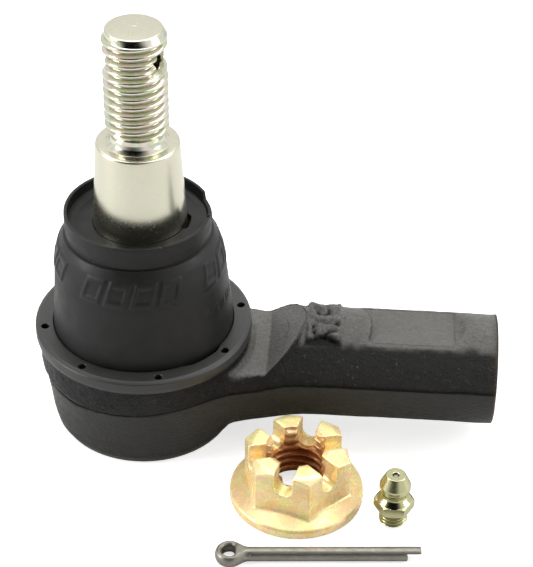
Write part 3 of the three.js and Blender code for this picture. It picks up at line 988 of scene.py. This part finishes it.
THREAD_LOW = 78.9
THREAD_HIGH = stud_top - 1.6
RELIEF_R = 5.85                # the undercut below the thread
STUD_NECK_R = 8
PIN_HOLE_Z = 95.6
PIN_HOLE_R = 2.0
PIN_HOLE_TURN = math.radians(-14)


def stud_outline():
    ball = [(BALL_R * math.cos(t), BALL_Z + BALL_R * math.sin(t))
            for t in np.radians(np.linspace(-42.8, 50, 40))]
    lower = rounded([
        (STUD_NECK_R, 29, 1.5), (STUD_NECK_R, 47.5, 4), (9.4, 50.4, 1),
        (taper_radius(51.5), 51.8, 0.6), (SHOULDER_R, SHOULDER_Z - 0.05, 0.55),
        (7.1, SHOULDER_Z + 0.1, 0.3), (RELIEF_R + 0.35, SHOULDER_Z + 0.9, 0.5),
        (RELIEF_R, SHOULDER_Z + 1.9, 0.6), (RELIEF_R, THREAD_LOW - 1.0, 0.3),
        (THREAD_R, THREAD_LOW + 0.1, 0.1),
    ], 0.5, closed=False)
    thread = [(THREAD_R, z) for z in np.arange(THREAD_LOW + 0.1, THREAD_HIGH, 0.1)]
    top = rounded([
        (THREAD_R, THREAD_HIGH, 0.1), (THREAD_R - 0.1, THREAD_HIGH + 0.1, 0.3),
        (6.1, stud_top - 0.05, 0.5), (0.9, stud_top, 0.2), (0.01, stud_top - 0.12),
    ], 0.5, closed=False)
    below_ball = [(0.01, ball[0][1])]
    return np.array(below_ball + ball + list(dense(lower, 0.9, closed=False)) + thread + list(top))


def stud_thread(r, angle, z):
    """Cuts the thread into the stud, with a dent round the pin hole."""
    fade = ramp(z, THREAD_LOW - 0.9, THREAD_LOW + 0.5)
    fade = fade * ramp(-z, -stud_top - 0.2, -THREAD_HIGH + 1.0)
    depth = THREAD_DEPTH * thread_depth(z / THREAD_PITCH - angle / (2 * math.pi))
    off_hole = (angle - PIN_HOLE_TURN + math.pi / 2) % math.pi - math.pi / 2
    off_hole = np.hypot(off_hole * THREAD_R / 6.5, (z - PIN_HOLE_Z) / 3.6)
    dent = 0.95 * ramp(1 - off_hole, 0, 0.5)
    limited = np.minimum(r, THREAD_R - depth * fade * (1 - 0.3 * dent) - dent)
    return np.where(z > THREAD_LOW - 1.1, limited, r)


def plated_stud():
    piece = turned("plated_stud", stud_outline(), 224, closed=False, radius_of=stud_thread,
                   smooth_angle=50)
    drill = rounded([
        (3.4, -7.2), (PIN_HOLE_R, -5.2), (PIN_HOLE_R, 5.2), (3.4, 7.2),
    ], 0.8, closed=False)
    hole = turned("pin_hole_cut", drill, 40, closed=False)
    hole.rotation_euler = (0, math.pi / 2, PIN_HOLE_TURN)
    hole.location.z = PIN_HOLE_Z * MM
    bpy.context.view_layer.update()
    cut(piece, [hole], 50)
    mesh = piece.data
    points = points_of(mesh)
    z = points[:, 2]
    satin = np.where(z < SHOULDER_Z + 0.3, 0.6, 0.1) + 0.5 * (z > stud_top - 0.3)
    satin += 0.2 * ((z > THREAD_LOW) & (z < THREAD_HIGH))
    # thread roots, for painted shade
    sunk = ramp(THREAD_R - np.hypot(points[:, 0], points[:, 1]), 0.55, THREAD_DEPTH)
    sunk = sunk * (z > THREAD_LOW - 0.5) * (z < THREAD_HIGH)
    paint(mesh, satin=np.clip(satin, 0, 1), sunk=sunk)
    dress(piece, "stud", "zinc_steel", "ball_stud")


# ---- loose hardware ----

NUT_TURN = math.radians(15)
NUT_HALF_FLATS = 10.8
NUT_CROWN_R = 10.4
NUT_FLANGE_TOP = 2.3
NUT_STEP = 0.17
SLOT_HALF = 2.15
SLOT_FLOOR = 8.4
NUT_THREAD_MINOR = 5.95
NUT_MOUTH_R = 7.6
FITTING_THREAD_R = 3.17
FITTING_THREAD_TOP = 4.4
FITTING_PITCH = 0.907          # 28 turns to the inch
FITTING_HALF_FLATS = 3.97
FITTING_HEX_Z = 5.9            # middle of the hexagon
FITTING_HEX_HALF = 1.2
FITTING_STEP = 0.09


def turn_about(x, y, centre, turn):
    """Coordinates from centre along axes that are turned anticlockwise."""
    x, y = x - centre[0], y - centre[1]
    cos, sin = math.cos(turn), math.sin(turn)
    return x * cos + y * sin, y * cos - x * sin


def hexagon(x, y, half):
    """Distance to six flats with a corner along y."""
    sides = [np.abs(x * math.cos(t) + y * math.sin(t)) for t in np.radians([0, 60, 120])]
    return np.maximum.reduce(sides) - half


def nut_field(x, y, z):
    x, y = turn_about(x, y, NUT_AT, NUT_TURN)
    r = np.hypot(x, y)
    hexagonal = hexagon(x, y, NUT_HALF_FLATS)
    crown = (r - NUT_CROWN_R) * 0.474 + (z - NUT_TOP) * 0.88
    body = overlap(overlap(hexagonal, crown, 0.35), z - NUT_TOP, 0.35)
    skirt = (z - NUT_FLANGE_TOP) * 0.91 + (r - NUT_FLANGE_R + 0.3) * 0.414
    flange = overlap(overlap(r - NUT_FLANGE_R, skirt, 0.45), -z, 0.5)
    body = join(np.maximum(body, -z), flange, 0.8)
    slot_axis = SLOT_FLOOR + SLOT_HALF
    slots = np.inf
    for angle in np.radians([0, 60, 120]):
        across = np.abs(y * math.cos(angle) - x * math.sin(angle))
        slot = np.where(z < slot_axis, np.hypot(across, z - slot_axis), across) - SLOT_HALF
        slots = np.minimum(slots, slot)
    body = take(body, slots, 0.35)
    turns = z / THREAD_PITCH - np.arctan2(y, x) / (2 * math.pi)
    depth = THREAD_DEPTH * (1 - thread_depth(turns, 0.1, 0.9))
    hole = r - (NUT_THREAD_MINOR + depth)
    hole = np.minimum(hole, r - (NUT_MOUTH_R - z))
    return take(body, hole, 0.12)


def slotted_nut():
    piece = surface("slotted_nut", nut_field, nut_low, nut_high, NUT_STEP)
    mesh = piece.data
    points = points_of(mesh)
    radius = np.hypot(points[:, 0] - NUT_AT[0], points[:, 1] - NUT_AT[1])
    # painted shade: the bore's thread grows darker and browner deeper inside
    depth = ramp(NUT_TOP - points[:, 2], 0.5, 5)
    paint(mesh, thread=ramp(-radius, -THREAD_R - 0.25, -THREAD_R) * (0.35 + 0.6 * depth))
    dress(piece, "nut", "gold_zinc", "castle_nut")


def nipple_field():
    head = Outline(rounded([
        (0.6, FITTING_TOP), (1.5, 12.7), (1.5, 1.1), (1.0, 0.5), (1.0, 0), (2.1, 0, 0.2),
        (FITTING_THREAD_R, 1.1), (FITTING_THREAD_R, 4.2), (2.8, 4.45), (2.8, 4.8), (3.7, 4.8),
        (3.8, 7.2), (2.8, 8.15, 0.6), (2.75, 8.8, 0.8), (3.5, 10.3, 0.6), (3.5, 11.3, 0.8),
        (2.2, FITTING_TOP, 0.2),
    ], 0.15), 0.03)

    def field(x, y, z):
        x, y = x - FITTING_AT[0], y - FITTING_AT[1]
        r = np.hypot(x, y)
        turns = z / FITTING_PITCH - np.arctan2(y, x) / (2 * math.pi)
        threaded = ramp(z, 0.3, 1.2) * ramp(-z, -FITTING_THREAD_TOP, 0.4 - FITTING_THREAD_TOP)
        core = head(r, z)
        groove = 0.5 * thread_depth(turns, 0.15, 0.9) * threaded
        core = np.maximum(core, np.where(threaded > 0, r - FITTING_THREAD_R + groove, core))
        past_end = np.abs(z - FITTING_HEX_Z) - FITTING_HEX_HALF
        bevel = (r - 4.2) * 0.5 + past_end * 0.87
        hexagonal = overlap(hexagon(y, x, FITTING_HALF_FLATS), bevel, 0.15)
        hexagonal = np.maximum(overlap(hexagonal, past_end, 0.15), 2.6 - r)
        return join(core, hexagonal, 0.15)

    return field


def grease_nipple():
    piece = surface("grease_nipple", nipple_field(), fitting_low, fitting_high, FITTING_STEP)
    mesh = piece.data
    points = points_of(mesh)
    radius = np.hypot(points[:, 0] - FITTING_AT[0], points[:, 1] - FITTING_AT[1])
    # thread roots, for painted shade
    sunk = ramp(FITTING_THREAD_R - 0.12 - radius, 0, 0.3)
    sunk = sunk * (points[:, 2] < FITTING_THREAD_TOP + 0.2) * (points[:, 2] > 0.8)
    everywhere = np.ones(len(points))
    paint(mesh, satin=0.25 * everywhere, yellow=0.85 * everywhere, sunk=sunk)
    dress(piece, "fitting", "zinc_steel", "grease_fitting_body")


PIN_TURN = math.radians(4.5)
PIN_SPLIT_TURN = math.radians(55)
PIN_START = (21.0, -50.6)      # the eye's outer end
PIN_R = 1.6
PIN_EYE_R = 3.2
PIN_LENGTH = 45.0
PIN_SHORT = 42.0
WIRE_RING_R = 2.4              # radius of the eye along the middle of its wire
EYE_HOLE_R = 1.62
PIN_STEP = 0.14


def pin_field(x, y, z):
    x, y = turn_about(x, y, PIN_START, PIN_TURN)
    z = z - PIN_R
    off_split = y * math.cos(PIN_SPLIT_TURN) + z * math.sin(PIN_SPLIT_TURN)
    half_gap = 0.6 * ramp(x, 6.4, 8) - 0.5
    legs = overlap(np.hypot(y, z) - PIN_R, half_gap - np.abs(off_split), 0.22)
    legs = overlap(legs, x - np.where(off_split > 0, PIN_LENGTH, PIN_SHORT), 0.3)
    legs = overlap(legs, 4.6 - x, 0.3)
    around = np.hypot(x - PIN_EYE_R, y)
    wire = np.hypot((around - WIRE_RING_R) / 0.85, z / 1.45) - 1
    wire = overlap(wire, EYE_HOLE_R - around, 0.3)
    return overlap(join(wire * 0.85, legs, 1.1), np.abs(z) - PIN_R, 0.12)


def split_pin():
    piece = surface("split_pin", pin_field, pin_low, pin_high, PIN_STEP)
    dress(piece, "pin", "plain_steel", "cotter_pin")


def check_ball():
    """The steel ball that closes the fitting's mouth."""
    centre = (ball_low + ball_high) / 2
    radius = (ball_high[0] - ball_low[0]) / 2
    half_turn = np.radians(np.linspace(-88, 88, 24))
    outline = [(radius * math.cos(t), radius * math.sin(t)) for t in half_turn]
    piece = turned("check_ball", outline, 36, closed=False, smooth_angle=180)
    set_points(piece.data, points_of(piece.data) + centre)
    dress(piece, "check_ball", "spring_steel", "fitting_check_ball")


forged_housing()
closing_plate()
boot_ring()
rubber_boot()
plated_stud()
slotted_nut()
grease_nipple()
split_pin()
check_ball()

HIDDEN_NODES = {
    "preload_spring": "spring_steel",
    "lower_bearing": "bearing_plastic",
    "upper_bearing": "bearing_plastic",
    "boot_lip_ring": "spring_steel",
    "fitting_spring": "spring_steel",
}
for node, slot in HIDDEN_NODES.items():
    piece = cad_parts[node]
    piece.data.materials.clear()
    piece.data.materials.append(FINISHES[slot])


# ---- stage, light and camera ----

FLOOR_GLOW = 0.7


def white_floor():
    """A pale floor. It glows for the camera only, so that it doesn't light the object from below."""
    bpy.ops.mesh.primitive_plane_add(size=4)
    floor = bpy.context.object
    floor.name = "floor"
    finish = Finish("floor_white", (0.7, 0.7, 0.7), 0.7, Emission_Color=(1, 1, 1, 1))
    glow = finish.node("ShaderNodeMapRange")
    set_range(glow, 0, 1, 0, FLOOR_GLOW)
    finish.link(finish.node("ShaderNodeLightPath").outputs["Is Camera Ray"], glow.inputs["Value"])
    finish.link(glow.outputs["Result"], finish.shader.inputs["Emission Strength"])
    floor.data.materials.append(finish.material)


DARK_SKY = Vector((-0.17, -0.74, 0.65)).normalized()
SKY_STRENGTH = 0.95
MIDDLE = Vector((0.02, 0, 0.03))


def soft_light(name, place, width, height, power):
    """A rectangular light that faces the middle of the object."""
    data = bpy.data.lights.new(name, "AREA")
    data.shape = "RECTANGLE"
    data.size, data.size_y = width, height
    data.energy = power
    light = bpy.data.objects.new(name, data)
    light.location = place
    light.rotation_euler = (MIDDLE - Vector(place)).to_track_quat("-Z", "Y").to_euler()
    bpy.context.scene.collection.objects.link(light)


def studio():
    """Even soft light all round, apart from a dark patch of sky in front."""
    world = bpy.data.worlds.new("studio")
    bpy.context.scene.world = world
    world.use_nodes = True
    nodes, links = world.node_tree.nodes, world.node_tree.links
    towards_dark = nodes.new("ShaderNodeVectorMath")
    towards_dark.operation = "DOT_PRODUCT"
    towards_dark.inputs[1].default_value = DARK_SKY
    links.new(nodes.new("ShaderNodeTexCoord").outputs["Generated"], towards_dark.inputs[0])
    sky = nodes.new("ShaderNodeMapRange")
    sky.interpolation_type = "SMOOTHSTEP"
    set_range(sky, 0.55, 0.9, SKY_STRENGTH, 0)
    links.new(towards_dark.outputs["Value"], sky.inputs["Value"])
    background = nodes["Background"]
    background.inputs["Color"].default_value = (1, 1, 1, 1)
    links.new(sky.outputs["Result"], background.inputs["Strength"])
    soft_light("overhead", (0.03, 0.25, 0.8), 0.9, 0.6, 5)
    soft_light("left", (-0.7, -0.2, 0.35), 0.3, 0.5, 4.5)
    soft_light("right", (0.75, 0.0, 0.4), 0.3, 0.5, 2.5)


CAMERA_AZIMUTH = math.radians(3.28)
CAMERA_PITCH = math.radians(36.4)
CAMERA_ROLL = math.radians(0.85)
CAMERA_TARGET = Vector((0.02846, 0, 0.0381))
CAMERA_DISTANCE = 0.4117
CAMERA_LENS = 114.5


def camera():
    data = bpy.data.cameras.new("camera")
    data.sensor_width = 36
    data.lens = CAMERA_LENS
    data.clip_start = 0.01
    facing = Matrix.Rotation(CAMERA_AZIMUTH, 4, "Z")
    facing = facing @ Matrix.Rotation(math.pi / 2 - CAMERA_PITCH, 4, "X")
    facing = facing @ Matrix.Rotation(CAMERA_ROLL, 4, "Z")
    back = Matrix.Translation((0, 0, CAMERA_DISTANCE))
    view = bpy.data.objects.new("camera", data)
    view.matrix_world = Matrix.Translation(CAMERA_TARGET) @ facing @ back
    bpy.context.scene.collection.objects.link(view)
    bpy.context.scene.camera = view


white_floor()
studio()
camera()
bpy.context.scene.view_settings.view_transform = "Standard"
